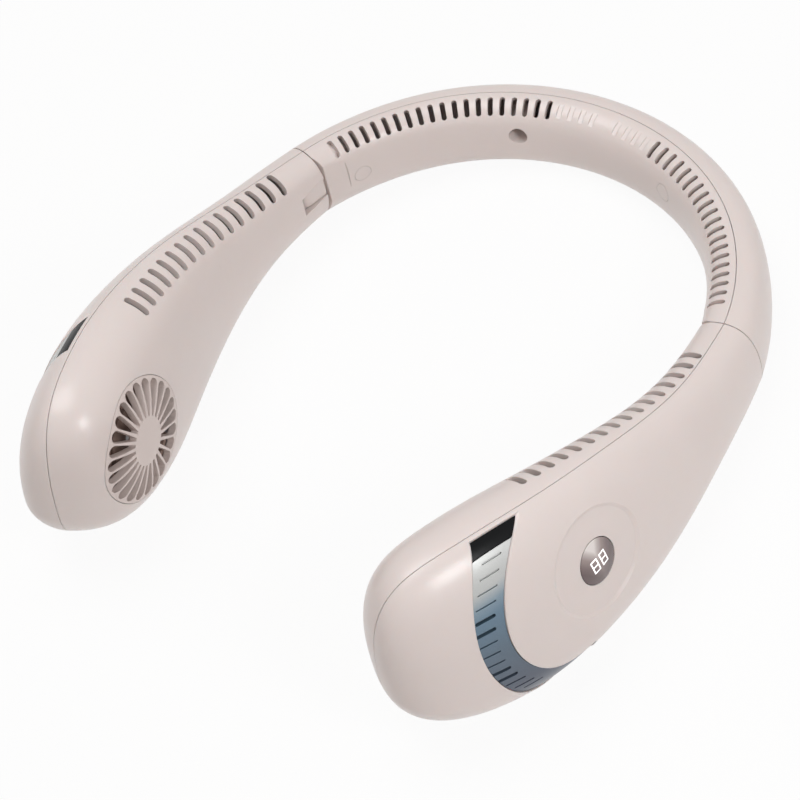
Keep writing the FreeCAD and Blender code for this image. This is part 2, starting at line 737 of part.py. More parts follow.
def make_hinge_block():
    """Frame in the arm's end, whose ears hold the pin above and below the tongue."""
    block = arm_inside.common(box_tool(hinge, (0.0, dim.block_long), (-REACH, REACH), (-REACH, REACH)))
    end = notch_half + dim.pin_end
    bore = rod_tool(pin_frame, dim.pin_radius + dim.bond_gap, -end, end)
    feature("left_hinge_block", block.cut([duct_tool(-dim.wall, 2 * dim.block_long), hinge_notch(), bore]))
    pin = cylinder("Sizes.pin_radius", "Sizes.tongue_tall + 2 * (Sizes.tongue_gap + Sizes.pin_end)",
                   shifted(pin_frame, z=-end))
    node("left_hinge_pin", pin)


# Arm covers

def arm_slot_tools():
    tools = []
    for i in range(int(dim.arm_slot_count)):
        frame = on_arm(dim.arm_slot_first + i * dim.arm_slot_pitch, dim.arm_slot_turn)
        tools.append(slot_tool(frame, dim.arm_slot_long, dim.arm_slot_wide, -2 * dim.wall, dim.wall))
    return tools


def make_inner_cover():
    hole = rod_tool(blower, dim.grille_radius + dim.fit_gap, -dim.grille_reach, dim.grille_reach)
    feature("left_inner_cover", arm_inner_half.cut(arm_slot_tools() + [hole, hinge_notch()]))


def ring_sector(inner, outer, margin):
    """Half ring about the louvre's centre, on the pod's side and a margin off the parting line."""
    turned = ring.multiply(FreeCAD.Placement(V(), FreeCAD.Rotation(V(1, 0, 0), -90)))
    tube = tube_tool(turned, inner, outer, -dim.pod_width, dim.pod_width)
    half = tube.common(box_tool(ring, (0.0, REACH), (-REACH, REACH), (-REACH, REACH)))
    return half.common(parting_block(arm_rows(), 1, margin))


def outer_turn(along, height):
    """Place round the section of the outer side at a height, found by halving."""
    low, high = -1.0, 1.0
    for _ in range(HALVINGS):
        turn = (low + high) / 2
        if on_arm(along, turn % 4).Base.z < height:
            low = turn
        else:
            high = turn
    return turn % 4


OPEN_LOUVRES = (4, 5, 9, 10)


def louvre_tools():
    """Slots across the louvre ring, along the arm: a few open and the rest blind grooves."""
    middle = (dim.louvre_inner + dim.louvre_outer) / 2
    shrink = dim.arm_radius / (dim.arm_radius + dim.belly_width / 2)
    tools = []
    for i in range(int(dim.louvre_count)):
        angle = math.radians(dim.louvre_first - i * dim.louvre_step)
        along = dim.louvre_station + middle * math.cos(angle) * shrink
        height = dim.louvre_height + middle * math.sin(angle)
        frame = on_arm(along, outer_turn(along, height))
        is_open = i in OPEN_LOUVRES
        depth = 2 * dim.wall if is_open else dim.louvre_recess + dim.louvre_groove_deep
        wide = dim.louvre_slot_wide if is_open else dim.louvre_groove_wide
        tools.append(slot_tool(frame, dim.louvre_slot_long, wide, -depth, dim.wall, 90))
    return tools


def make_outer_covers():
    """Outer covers: the left one with the dish, button hole, board posts and charging inlet."""
    opening = ring_sector(dim.louvre_inner, dim.louvre_outer, dim.louvre_strip)
    plain = arm_shell.common(arm_outer_side).cut(opening)
    base = doc.addObject("Part::Feature", "plain_outer_cover")
    base.Shape = plain
    right = doc.addObject("Part::Mirroring", "Mirroring")
    right.Source = base
    right.Normal = V(1, 0, 0)
    node("right_outer_cover", right)

    rim = dim.dish_radius + dim.dish_flare
    high = dim.dish_depth + 3 * dim.wall
    cone = Part.makeCone(dim.dish_radius - 4 * dim.dish_flare, rim + dim.dish_flare * 4, 8 * dim.dish_depth,
                         V(0, 0, -4 * dim.dish_depth))
    cone.Placement = display
    dish = cone.cut(arm_form(dim.dish_depth))
    hole = rod_tool(display, dim.button_radius + dim.button_gap, -dim.flange_depth, high)
    sleeve_inner = dim.button_radius + dim.button_flange + dim.button_gap
    sleeve_end = dim.flange_depth + dim.flange_thick + dim.button_travel
    sleeve = tube_tool(display, sleeve_inner, sleeve_inner + dim.sleeve_wall, -sleeve_end, 0.0)
    posts = [rod_tool(shifted(display, side * dim.post_spread), dim.post_radius, -board_depth(), 0.0)
             for side in (-1, 1)]
    feet = [rod_tool(shifted(inlet, side * dim.charge_spread), dim.post_radius, 0.0, inlet_top())
            for side in (-1, 1)]
    pegs = [tool.common(arm_anchor) for tool in [sleeve] + posts + feet]
    room = 2 * dim.fit_gap
    mouth = slot_tool(inlet, dim.inlet_long + room, dim.inlet_wide + room, -dim.wall, inlet_top(), 90)
    pilots = [rod_tool(frame, dim.screw_radius + dim.bond_gap, -dim.screw_long - dim.fit_gap, dim.wall)
              for frame in board_screw_frames()]
    feature("left_outer_cover", plain.cut(dish).fuse(pegs).cut([hole, mouth] + pilots))


def make_louvres():
    """Louvre band and the dark window above it, set a little below the cover."""
    gap = dim.fit_gap
    body = arm_form(dim.louvre_recess).cut(arm_cavity)
    opening = ring_sector(dim.louvre_inner + gap, dim.louvre_outer - gap, dim.louvre_strip + gap)
    region = body.common(opening)
    edge = dim.window_edge
    slanted = shifted(ring, spin=-dim.window_slant)
    window = region.common(box_tool(slanted, (0.0, REACH), (-REACH, edge - gap / 2), (0.0, REACH)))
    band = region.cut(box_tool(slanted, (-REACH, REACH), (-REACH, edge + gap / 2), (0.0, REACH)))
    feature("left_louvre_window", largest(window))
    feature("left_louvre_band", largest(band.cut(louvre_tools())))


def largest(shape):
    return max(shape.Solids, key=lambda solid: solid.Volume)


# Intake grille

def make_grille():
    """Round insert flush with the pod, with tapered openings round a plain middle."""
    plate = arm_inner_half.common(rod_tool(blower, dim.grille_radius, -dim.grille_reach, dim.grille_reach))
    plate = largest(plate)
    step = 2 * math.pi / dim.grille_count
    inner, outer = dim.grille_hub, dim.grille_radius - dim.grille_rim
    tools = []
    for i in range(int(dim.grille_count)):
        frame = shifted(blower, spin=math.degrees(i * step))
        near = (inner * step - dim.grille_rib) / 2
        end = (outer * step - dim.grille_rib) / 2
        stop = outer - end
        sides = [Part.LineSegment(V(inner, -near, 0), V(stop, -end, 0)),
                 Part.Arc(V(stop, -end, 0), V(outer, 0, 0), V(stop, end, 0)),
                 Part.LineSegment(V(stop, end, 0), V(inner, near, 0)),
                 Part.LineSegment(V(inner, near, 0), V(inner, -near, 0))]
        face = Part.Face(Part.Wire([side.toShape() for side in sides]))
        tool = face.extrude(V(0, 0, 2 * dim.grille_reach))
        tool.Placement = shifted(frame, z=-dim.grille_reach)
        tools.append(tool)
    feature("left_intake_grille", plate.cut(tools))


# Blower

def depth_frame(frame, depth):
    return shifted(frame, z=-depth)


def plate_depth():
    """Depth of the housing plate's front face."""
    return dim.impeller_front + dim.impeller_tall + dim.plate_gap


def make_housing():
    """Cup round the impeller, open to the grille and, through its outlet, to the arm."""
    bore = dim.impeller_radius + dim.housing_gap
    back = plate_depth() + dim.plate_thick
    cup = arm_inside.common(rod_tool(blower, bore + dim.housing_wall, -back, dim.wall))
    hollow = rod_tool(blower, bore, -plate_depth(), dim.wall)
    half = dim.outlet_wide / 2
    outlet = box_tool(blower, (-REACH, 0.0), (-half, half), (-plate_depth(), dim.wall))
    holes = [rod_tool(blower, dim.bush_radius + dim.bond_gap, -REACH, 0.0)]
    for i in range(int(dim.motor_screw_count)):
        spot = shifted(shifted(blower, spin=360 * i / dim.motor_screw_count), dim.motor_screw_circle)
        holes.append(rod_tool(spot, dim.screw_radius + dim.fit_gap, -REACH, 0.0))
    feature("left_blower_housing", largest(cup.cut([hollow, outlet] + holes)))


def make_motor():
    """Stator on the housing plate, its bush and the screws from behind the plate."""
    plate = plate_depth()
    stator_radius = "(Sizes.hub_radius - Sizes.hub_wall - Sizes.bond_gap - Sizes.magnet_thick - Sizes.air_gap)"
    stator = cut(cylinder(stator_radius, "Sizes.stator_tall"),
                 cylinder("Sizes.bush_radius + Sizes.bond_gap", "Sizes.stator_tall"))
    tapped = "Sizes.screw_long - Sizes.plate_thick + Sizes.fit_gap"
    for i in range(int(dim.motor_screw_count)):
        angle = 2 * math.pi * i / dim.motor_screw_count
        spot = V(math.cos(angle), math.sin(angle), 0) * dim.motor_screw_circle
        place = FreeCAD.Placement(spot, FreeCAD.Rotation())
        stator = cut(stator, cylinder("Sizes.screw_radius + Sizes.bond_gap", tapped, place))
    stator.Placement = depth_frame(blower, plate)
    node("left_motor_stator", stator)
    tall = "Sizes.stator_tall + Sizes.bush_stand + Sizes.plate_thick"
    bush = cut(cylinder("Sizes.bush_radius", tall), cylinder("Sizes.shaft_radius + Sizes.run_gap", tall))
    bush.Placement = depth_frame(blower, plate + dim.plate_thick)
    node("left_motor_bush", bush)
    screws = []
    for i in range(int(dim.motor_screw_count)):
        spot = shifted(depth_frame(blower, plate + dim.plate_thick), spin=360 * i / dim.motor_screw_count)
        screws.append(small_screw(shifted(spot, dim.motor_screw_circle).multiply(FLIPPED)))
    node("left_motor_screws", group(screws))


def origin_plane(body, role):
    return [plane for plane in body.Origin.OriginFeatures if plane.Role == role][0]


def circle_sketch(body, radius, height=0.0):
    """Sketch of one circle, its radius following the sheet, at a height on the body's XY plane."""
    sketch = body.newObject("Sketcher::SketchObject", "Circle")
    sketch.AttachmentSupport = (origin_plane(body, "XY_Plane"), [""])
    sketch.MapMode = "FlatFace"
    sketch.AttachmentOffset = FreeCAD.Placement(V(0, 0, height), FreeCAD.Rotation())
    sketch.addGeometry(Part.Circle(V(0, 0, 0), UP, 1.0), False)
    sketch.addConstraint(Sketcher.Constraint("Coincident", 0, 3, -1, 1))
    sketch.addConstraint(Sketcher.Constraint("Radius", 0, 1.0))
    sketch.setExpression("Constraints[1]", radius)
    return sketch


def pad(body, sketch, length):
    item = body.newObject("PartDesign::Pad", "Pad")
    item.Profile = sketch
    item.setExpression("Length", length)
    return item


def pocket(body, sketch, length):
    """Pocket upward from a sketch that lies on the underside."""
    item = body.newObject("PartDesign::Pocket", "Pocket")
    item.Profile = sketch
    item.Reversed = True
    item.setExpression("Length", length)
    return item


def vane_sketch(body):
    """One vane, leaning back from a radius, as a thin four-sided outline."""
    sketch = body.newObject("Sketcher::SketchObject", "Vane")
    sketch.AttachmentSupport = (origin_plane(body, "XY_Plane"), [""])
    sketch.MapMode = "FlatFace"
    reach = dim.impeller_radius - dim.vane_inner
    lean = math.tan(math.radians(dim.vane_skew)) * reach
    half = dim.vane_thick / 2
    corners = [V(dim.vane_inner, -half, 0), V(dim.impeller_radius, -half - lean, 0),
               V(dim.impeller_radius, half - lean, 0), V(dim.vane_inner, half, 0)]
    for start, stop in zip(corners, corners[1:] + corners[:1]):
        sketch.addGeometry(Part.LineSegment(start, stop), False)
    for i in range(4):
        sketch.addConstraint(Sketcher.Constraint("Coincident", i, 2, (i + 1) % 4, 1))
    return sketch


def make_rotor():
    """Impeller with its cup, the magnet ring inside the cup, and the shaft."""
    body = doc.addObject("PartDesign::Body", "left_impeller")
    pad(body, circle_sketch(body, "Sizes.impeller_radius"), "Sizes.impeller_disc")
    pad(body, circle_sketch(body, "Sizes.hub_radius"), "Sizes.impeller_tall")
    doc.recompute()
    vane = pad(body, vane_sketch(body), "Sizes.impeller_tall")
    pattern = body.newObject("PartDesign::PolarPattern", "Vanes")
    pattern.Originals = [vane]
    pattern.Axis = ([axis for axis in body.Origin.OriginFeatures if axis.Role == "Z_Axis"][0], [""])
    pattern.Angle = 360
    pattern.setExpression("Occurrences", "Sizes.vane_count")
    body.Tip = pattern
    doc.recompute()
    cup_sketch = circle_sketch(body, "Sizes.hub_radius - Sizes.hub_wall")
    pocket(body, cup_sketch, "Sizes.impeller_tall - Sizes.hub_wall")
    body.Tip = pocket(body, circle_sketch(body, "Sizes.shaft_radius + Sizes.bond_gap"), "Sizes.impeller_tall")
    back = dim.impeller_front + dim.impeller_tall
    body.Placement = depth_frame(blower, back)
    node("left_impeller", body)
    cup = "(Sizes.hub_radius - Sizes.hub_wall - Sizes.bond_gap)"
    magnet = cut(cylinder(cup, "Sizes.magnet_tall"),
                 cylinder(cup + " - Sizes.magnet_thick", "Sizes.magnet_tall"))
    magnet.Placement = depth_frame(blower, back)
    node("left_rotor_magnet", magnet)
    shaft = cylinder("Sizes.shaft_radius", "Sizes.impeller_tall + Sizes.plate_gap + Sizes.plate_thick")
    shaft.Placement = depth_frame(blower, plate_depth() + dim.plate_thick)
    node("left_motor_shaft", shaft)


# Battery

def make_battery():
    frame = arm_upright(dim.battery_station, dim.battery_shift, dim.battery_height)
    along = frame.multiply(FreeCAD.Placement(V(-dim.battery_long / 2, 0, 0), FreeCAD.Rotation(V(0, 1, 0), 90)))
    node("left_battery", cylinder("Sizes.battery_radius", "Sizes.battery_long", along))
    half, side = dim.cradle_long / 2, dim.cradle_half
    seat = box_tool(frame, (-half, half), (-side, side), (-dim.battery_height, -dim.cradle_drop))
    space = rod_tool(along, dim.battery_radius + dim.bond_gap, -half, dim.battery_long + half)
    feature("left_battery_cradle", largest(arm_inside.common(seat).cut(space)))


# Display button

def board_depth():
    """Depth of the display board's front face."""
    pressed = dim.flange_depth + dim.flange_thick + dim.button_travel
    return pressed + dim.display_gap + dim.display_thick


def inlet_top():
    """Height of the charging board's underside."""
    return dim.inlet_face + dim.inlet_tall


def board_screw_frames():
    """Where the screws' heads bear: behind the display board, and on top of the charging board.

    Each frame's Z points away from the post, and lies on the board's face towards the post."""
    frames = [shifted(depth_frame(display, board_depth()), side * dim.post_spread).multiply(FLIPPED)
              for side in (-1, 1)]
    return frames + [shifted(inlet, side * dim.charge_spread, z=inlet_top()) for side in (-1, 1)]


def holed_board(long, wide, spread_size, frame):
    """Circuit board with a screw hole at each post, its face towards the posts on the frame."""
    plate = bound("Box", Length=long, Width=wide, Height="Sizes.board_thick")
    spread_value = getattr(dim, spread_size)
    plate.Placement.Base = V(-plate_half(long), -plate_half(wide), 0)
    board = plate
    for side in (-1, 1):
        board = cut(board, cylinder("Sizes.screw_radius + Sizes.fit_gap", "Sizes.board_thick",
                                    FreeCAD.Placement(V(side * spread_value, 0, 0), FreeCAD.Rotation())))
    board.Placement = frame
    return board


def plate_half(expression):
    return getattr(dim, expression.split(".")[1]) / 2


def make_display():
    """Domed button over the display, its stem, and the board with display and switch."""
    board_face = depth_frame(display, board_depth())
    board = holed_board("Sizes.board_long", "Sizes.board_wide", "post_spread", board_face.multiply(FLIPPED))
    node("display_board", board)

    flange_back = dim.flange_depth + dim.flange_thick
    cap_radius = (dim.button_radius ** 2 + dim.button_rise ** 2) / (2 * dim.button_rise)
    dome = bound("Sphere", FreeCAD.Placement(V(0, 0, flange_back - cap_radius), FreeCAD.Rotation()),
                 Radius="(Sizes.button_radius ^ 2 + Sizes.button_rise ^ 2) / (2 * Sizes.button_rise)")
    stud = bound("Common")
    stud.Base = cylinder("Sizes.button_radius", "Sizes.flange_depth + Sizes.flange_thick")
    stud.Tool = dome
    flange = cylinder("Sizes.button_radius + Sizes.button_flange", "Sizes.flange_thick")
    switch_spot = V(dim.switch_offset, 0, 0)
    leg_long = switch_depth() - dim.stem_long / 2 - flange_back - dim.bond_gap
    leg = bound("Cylinder", FreeCAD.Placement(switch_spot - UP * leg_long, FreeCAD.Rotation()),
                Radius="Sizes.stem_radius")
    leg.Height = leg_long
    button = fuse([stud, flange, leg], depth_frame(display, flange_back))
    node("display_button", button)

    stem = cylinder("Sizes.stem_radius", "Sizes.stem_long",
                    shifted(depth_frame(display, switch_depth() + dim.stem_long / 2), dim.switch_offset))
    node("switch_stem", stem)
    body = bound("Box", FreeCAD.Placement(V(-dim.switch_wide / 2, -dim.switch_wide / 2, 0), FreeCAD.Rotation()),
                 Length="Sizes.switch_wide", Width="Sizes.switch_wide", Height="Sizes.switch_thick")
    floor = dim.switch_thick - dim.stem_long / 2 - dim.button_travel - dim.fit_gap
    well = cylinder("Sizes.stem_radius + Sizes.run_gap", "Sizes.switch_thick",
                    FreeCAD.Placement(UP * floor, FreeCAD.Rotation()))
    node("button_switch", cut(body, well, shifted(board_face, dim.switch_offset)))
    start = dim.switch_offset - dim.switch_wide / 2 - dim.fit_gap - dim.display_long
    module = bound("Box", shifted(board_face, start, -dim.display_wide / 2),
                   Length="Sizes.display_long", Width="Sizes.display_wide", Height="Sizes.display_thick")
    node("display_module", module)


def switch_depth():
    """Depth of the switch body's front face."""
    return board_depth() - dim.switch_thick


# Charging inlet

def make_inlet():
    """Charging inlet that opens downward, its board, and the screws of both boards."""
    shell = rounded_can("0", "Sizes.inlet_tall", 0.0, 0.0)
    hollow = rounded_can("Sizes.inlet_sheet", "Sizes.inlet_tall - Sizes.inlet_sheet + Sizes.wall",
                         dim.inlet_sheet, -dim.wall)
    tongue = bound("Box", FreeCAD.Placement(V(-dim.inlet_long / 3, -dim.inlet_tongue / 2, dim.inlet_sheet),
                                            FreeCAD.Rotation()),
                   Length="Sizes.inlet_long * 2 / 3", Width="Sizes.inlet_tongue",
                   Height="Sizes.inlet_tall - Sizes.inlet_sheet")
    node("charging_inlet", fuse([cut(shell, hollow), tongue], shifted(inlet, z=dim.inlet_face)))
    top = shifted(inlet, z=inlet_top())
    node("charging_board", holed_board("Sizes.charge_long", "Sizes.charge_wide", "charge_spread", top))
    screws = [small_screw(shifted(frame, z=dim.board_thick)) for frame in board_screw_frames()]
    node("board_screws", group(screws))


def rounded_can(sheet_size, tall, inset, low):
    """Flat can with round ends, a box with a cylinder at each end, smaller all round by an inset."""
    straight = dim.inlet_long - dim.inlet_wide
    width = dim.inlet_wide - 2 * inset
    wide = f"(Sizes.inlet_wide - 2 * {sheet_size})"
    middle = bound("Box", FreeCAD.Placement(V(-straight / 2, -width / 2, low), FreeCAD.Rotation()),
                   Length="Sizes.inlet_long - Sizes.inlet_wide", Width=wide, Height=tall)
    spots = [FreeCAD.Placement(V(side * straight / 2, 0, low), FreeCAD.Rotation()) for side in (-1, 1)]
    return fuse([middle] + [cylinder(f"{wide} / 2", tall, spot) for spot in spots])


# Assembly

LEFT_TWICE = ("left_inner_cover", "left_louvre_window", "left_louvre_band", "left_intake_grille",
              "left_hinge_block", "left_hinge_pin", "left_blower_housing", "left_motor_stator",
              "left_motor_bush", "left_motor_screws", "left_impeller", "left_rotor_magnet",
              "left_motor_shaft", "left_battery", "left_battery_cradle")

make_band_covers()
make_band_fasteners()
make_band_wiring()
make_hinge_bracket()
make_hinge_block()
make_inner_cover()
make_outer_covers()
make_louvres()
make_grille()
make_housing()
make_motor()
make_rotor()
make_battery()
make_display()
make_inlet()
doc.recompute()
for name in LEFT_TWICE:
    mirrored(name)
doc.recompute()

for item in doc.Objects:
    if "Invalid" in item.State or "Error" in item.State:
        raise RuntimeError(f"{item.Name} ({item.Label}) failed: {item.State}")
for name, item in NODES.items():
    if item.Shape.isNull() or not item.Shape.isValid() or not item.Shape.Solids:
        raise RuntimeError(f"{name} has no sound shape")

os.makedirs("parts", exist_ok=True)
for name, item in NODES.items():
    item.Shape.exportStep(f"parts/{name}.step")

for name, frame in (("hinge pin", pin_frame), ("blower", blower), ("display", display), ("inlet", inlet)):
    axis = frame.Rotation.multVec(UP)
    print(name, [round(value, 4) for value in frame.Base], [round(value, 6) for value in axis])
print(len(NODES), "pieces")
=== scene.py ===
import json
import math

import bmesh
import bpy
import numpy as np
from mathutils import Matrix, Vector


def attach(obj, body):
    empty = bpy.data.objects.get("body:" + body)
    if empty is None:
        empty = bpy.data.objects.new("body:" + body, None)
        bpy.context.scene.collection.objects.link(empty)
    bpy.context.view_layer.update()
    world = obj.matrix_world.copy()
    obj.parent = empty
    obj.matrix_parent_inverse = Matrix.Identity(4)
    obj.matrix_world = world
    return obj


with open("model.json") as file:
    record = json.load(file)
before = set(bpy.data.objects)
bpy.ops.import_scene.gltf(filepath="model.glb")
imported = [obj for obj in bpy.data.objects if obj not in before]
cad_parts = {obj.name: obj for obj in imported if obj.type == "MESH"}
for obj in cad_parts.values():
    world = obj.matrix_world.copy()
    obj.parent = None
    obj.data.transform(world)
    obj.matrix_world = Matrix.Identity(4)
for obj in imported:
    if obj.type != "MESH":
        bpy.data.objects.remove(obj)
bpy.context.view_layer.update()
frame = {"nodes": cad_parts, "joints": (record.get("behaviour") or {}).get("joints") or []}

# Electric neck fan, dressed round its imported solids.
# Metres. +Z is up, the neckband lies towards +Y and the arms reach towards -Y.

MM = 0.001


# Round display, as the solids have it

BUTTON_RADIUS = 6.5 * MM
BUTTON_RISE = 0.9 * MM
UPRIGHT = np.array([0.0, 0.0, 1.0])


def unit(vector):
    """The same direction, with a length of 1."""
    return np.asarray(vector, float) / np.linalg.norm(vector)


def node_points(name):
    """Corner points of a node's mesh, one row each."""
    mesh = frame["nodes"][name].data
    points = np.empty(len(mesh.vertices) * 3)
    mesh.vertices.foreach_get("co", points)
    return points.reshape(-1, 3)


def display_axes():
    """Reading direction, upward direction and outward direction of the round display.

    Outward is against the button's travel, and upward is the fan's own, made square to it."""
    press = next(joint for joint in frame["joints"] if joint["name"] == "display_button_press")
    out = -unit(press["axis"])
    up = unit(UPRIGHT - out * (UPRIGHT @ out))
    return np.cross(up, out), up, out


def display_crown():
    """Top of the button's dome: the middle of its round outline, at its greatest height."""
    across, up, out = display_axes()
    points = node_points("display_button")
    spans = [points @ axis for axis in (across, up)]
    middle = [(span.min() + span.max()) / 2 for span in spans]
    return across * middle[0] + up * middle[1] + out * (points @ out).max()


# Meshes from rings of points

# Points of a ring that lie nearer than this are one pole
POLE_REACH = 0.0001 * MM


def ring_faces(rows, columns):
    """Quads between neighbouring rings of points: a row is a ring, closed round its columns."""
    row, column = np.meshgrid(np.arange(rows - 1), np.arange(columns), indexing="ij")
    after = (column + 1) % columns
    corners = [row * columns + column, row * columns + after,
               (row + 1) * columns + after, (row + 1) * columns + column]
    return np.stack(corners, -1).reshape(-1, 4)


def smooth(mesh):
    """Smooth shading on every face."""
    mesh.polygons.foreach_set("use_smooth", np.full(len(mesh.polygons), True))


def place_in_scene(name, data):
    """An object for a mesh, lamp or camera, linked to the scene."""
    item = bpy.data.objects.new(name, data)
    bpy.context.scene.collection.objects.link(item)
    return item


def make_piece(name, points, faces):
    """A smooth mesh piece at the origin from point and face arrays, closed at its poles, faces outwards."""
    mesh = bpy.data.meshes.new(name)
    mesh.from_pydata(points.reshape(-1, 3).tolist(), [], faces.tolist())
    work = bmesh.new()
    work.from_mesh(mesh)
    bmesh.ops.remove_doubles(work, verts=work.verts, dist=POLE_REACH)
    bmesh.ops.recalc_face_normals(work, faces=work.faces)
    work.to_mesh(mesh)
    work.free()
    smooth(mesh)
    mesh.update()
    return place_in_scene(name, mesh)


# Shader trees

BEVEL_SAMPLES = 6
# Sockets of a Mix node that mixes colours: its factor, its two colours and its result
MIX_FACTOR = 0
MIX_FIRST = 6
MIX_SECOND = 7
MIX_RESULT = 2


class Wire:
    """One output of a shader tree. Arithmetic on it adds Math nodes."""

    def __init__(self, tree, output=None):
        self.tree = tree
        self.output = output

    def node(self, kind, settings=None, sockets=None, out=0):
        """Adds a node: its settings first, then a value or a link for each of its sockets."""
        item = self.tree.nodes.new(kind)
        for name, value in (settings or {}).items():
            if name == "stops":
                set_stops(item.color_ramp, value)
            else:
                setattr(item, name, value)
        for key, value in (sockets or {}).items():
            if isinstance(value, Wire):
                self.tree.links.new(value.output, item.inputs[key])
            else:
                item.inputs[key].default_value = value
        return Wire(self.tree, item.outputs[out] if item.outputs else None)

    def maths(self, operation, first, second=0.0):
        """Result of a Math node on one or two values."""
        return self.node("ShaderNodeMath", {"operation": operation}, {0: first, 1: second})

    def __add__(self, other):
        return self.maths("ADD", self, other)

    def __radd__(self, other):
        return self.maths("ADD", other, self)

    def __sub__(self, other):
        return self.maths("SUBTRACT", self, other)

    def __rsub__(self, other):
        return self.maths("SUBTRACT", other, self)

    def __mul__(self, other):
        return self.maths("MULTIPLY", self, other)

    def __rmul__(self, other):
        return self.maths("MULTIPLY", other, self)

    def __abs__(self):
        return self.maths("ABSOLUTE", self)

    def place(self):
        """Object coordinates, in metres."""
        return self.node("ShaderNodeTexCoord", out="Object")

    def height(self):
        """Height above the floor, in metres."""
        return self.node("ShaderNodeSeparateXYZ", sockets={0: self.place()}, out="Z")

    def reach(self, origin, direction):
        """How far a place lies from an origin along a direction, in metres."""
        offset = self.node("ShaderNodeVectorMath", {"operation": "SUBTRACT"},
                           {0: self.place(), 1: tuple(origin)})
        return self.node("ShaderNodeVectorMath", {"operation": "DOT_PRODUCT"},
                         {0: offset, 1: tuple(direction)}, "Value")

    def noise(self, scale, detail=2.0):
        """Noise on Object coordinates, with features of about 1 / scale metres."""
        return self.node("ShaderNodeTexNoise",
                         sockets={"Vector": self.place(), "Scale": scale, "Detail": detail})

    def ramp(self, factor, stops):
        """Colour that a factor from 0 to 1 picks from the stops."""
        return self.node("ShaderNodeValToRGB", {"stops": stops}, {0: factor})

    def mix(self, factor, first, second):
        """Colour between two colours."""
        return self.node("ShaderNodeMix", {"data_type": "RGBA"},
                         {MIX_FACTOR: factor, MIX_FIRST: first, MIX_SECOND: second}, MIX_RESULT)

    def softened(self, edge, height, strength, distance):
        """Normal with edges rounded over a radius and a fine relief on top."""
        rounded = self.node("ShaderNodeBevel", {"samples": BEVEL_SAMPLES}, {"Radius": edge})
        return self.node("ShaderNodeBump", sockets={"Height": height, "Strength": strength,
                                                    "Distance": distance, "Normal": rounded})


def set_stops(ramp, stops):
    """Colour ramp stops, as positions and colours in order."""
    while len(ramp.elements) < len(stops):
        ramp.elements.new(1.0)
    for element, (position, colour) in zip(ramp.elements, stops):
        element.position = position
        element.color = colour


def new_finish(name):
    """An empty material and the start of its tree."""
    finish = bpy.data.materials.new(name)
    finish.use_nodes = True
    finish.node_tree.nodes.clear()
    return finish, Wire(finish.node_tree)


def surface(start, sockets):
    """Principled surface with these sockets, joined to the material's output."""
    shader = start.node("ShaderNodeBsdfPrincipled", sockets=sockets)
    start.node("ShaderNodeOutputMaterial", sockets={"Surface": shader})


# Colours

def tint(red, green, blue):
    """Linear colour of a screen colour given in 0 to 255, by the sRGB curve."""
    screen = np.array([red, green, blue]) / 255
    linear = np.where(screen <= 0.04045, screen / 12.92, ((screen + 0.055) / 1.055) ** 2.4)
    return (*linear.tolist(), 1.0)


def darker(colour, light):
    """A linear colour cut to a share of its light."""
    return (*[channel * light for channel in colour[:3]], 1.0)


def shade_stops(shades, light=1.0):
    """Ramp stops of screen colours, each with its channels cut to a share."""
    return tuple((spot, tint(*[light * channel for channel in shade])) for spot, shade in shades)


# Moulded plastic. Here and below, a noise's scale is in features per metre.

SOFT_EDGE = 0.35 * MM
GRAIN = 2600.0
GRAIN_ROUGH = 0.02
GRAIN_RELIEF = 0.1
GRAIN_DEEP = 0.02 * MM
MOTTLE = 45.0
MOTTLE_LIGHT = 0.955
MOTTLE_ROUGH = 0.06
# How far red, green and blue light pass into the plastic, in millimetres
GLOW_REACH = (1.0, 0.55, 0.4)


def moulded(name, colour, rough, edge=SOFT_EDGE, glow=0.0):
    """Moulded plastic: spark-eroded grain, slow drifts of tone and of roughness, softened edges.

    Glow is the share of light that passes a little way through the plastic."""
    finish, start = new_finish(name)
    drift = start.noise(MOTTLE)
    grain = start.noise(GRAIN)
    least = rough - (MOTTLE_ROUGH + GRAIN_ROUGH) / 2
    surface(start, {"Base Color": start.mix(drift, darker(colour, MOTTLE_LIGHT), colour),
                    "Roughness": least + drift * MOTTLE_ROUGH + grain * GRAIN_ROUGH,
                    "Subsurface Weight": glow,
                    "Subsurface Radius": GLOW_REACH,
                    "Subsurface Scale": MM,
                    "Normal": start.softened(edge, grain, GRAIN_RELIEF, GRAIN_DEEP)})
    return finish


# Polished plastic and lacquer

SMEAR = 160.0
SMEAR_DETAIL = 4.0
SMEAR_RELIEF = 0.02
FINE_DEEP = 0.01 * MM
GLOSS_LIGHT = 0.9
GLOSS_ROUGH = 0.05


def smears(start, edge):
    """Faint smears in a gloss, and the normal that they give with edges rounded over a radius."""
    smear = start.noise(SMEAR, SMEAR_DETAIL)
    return smear, start.softened(edge, smear, SMEAR_RELIEF, FINE_DEEP)


def gloss(name, colour, rough):
    """Polished plastic or lacquer: deep colour, faint smears in the gloss."""
    finish, start = new_finish(name)
    smear, normal = smears(start, SOFT_EDGE)
    surface(start, {"Base Color": start.mix(smear, darker(colour, GLOSS_LIGHT), colour),
                    "Roughness": rough + smear * GLOSS_ROUGH,
                    "Normal": normal})
    return finish


# Metal

METAL_EDGE = 0.1 * MM
STREAK = 1800.0
STREAK_DETAIL = 3.0
STREAK_LIGHT = 0.85
STREAK_ROUGH = 0.12
STREAK_RELIEF = 0.1


def metal(name, colour, rough):
    """Drawn or turned metal with fine streaks."""
    finish, start = new_finish(name)
    streak = start.noise(STREAK, STREAK_DETAIL)
    surface(start, {"Base Color": start.mix(streak, darker(colour, STREAK_LIGHT), colour),
                    "Metallic": 1.0,
                    "Roughness": rough + streak * STREAK_ROUGH,
                    "Normal": start.softened(METAL_EDGE, streak, STREAK_RELIEF, FINE_DEEP)})
    return finish


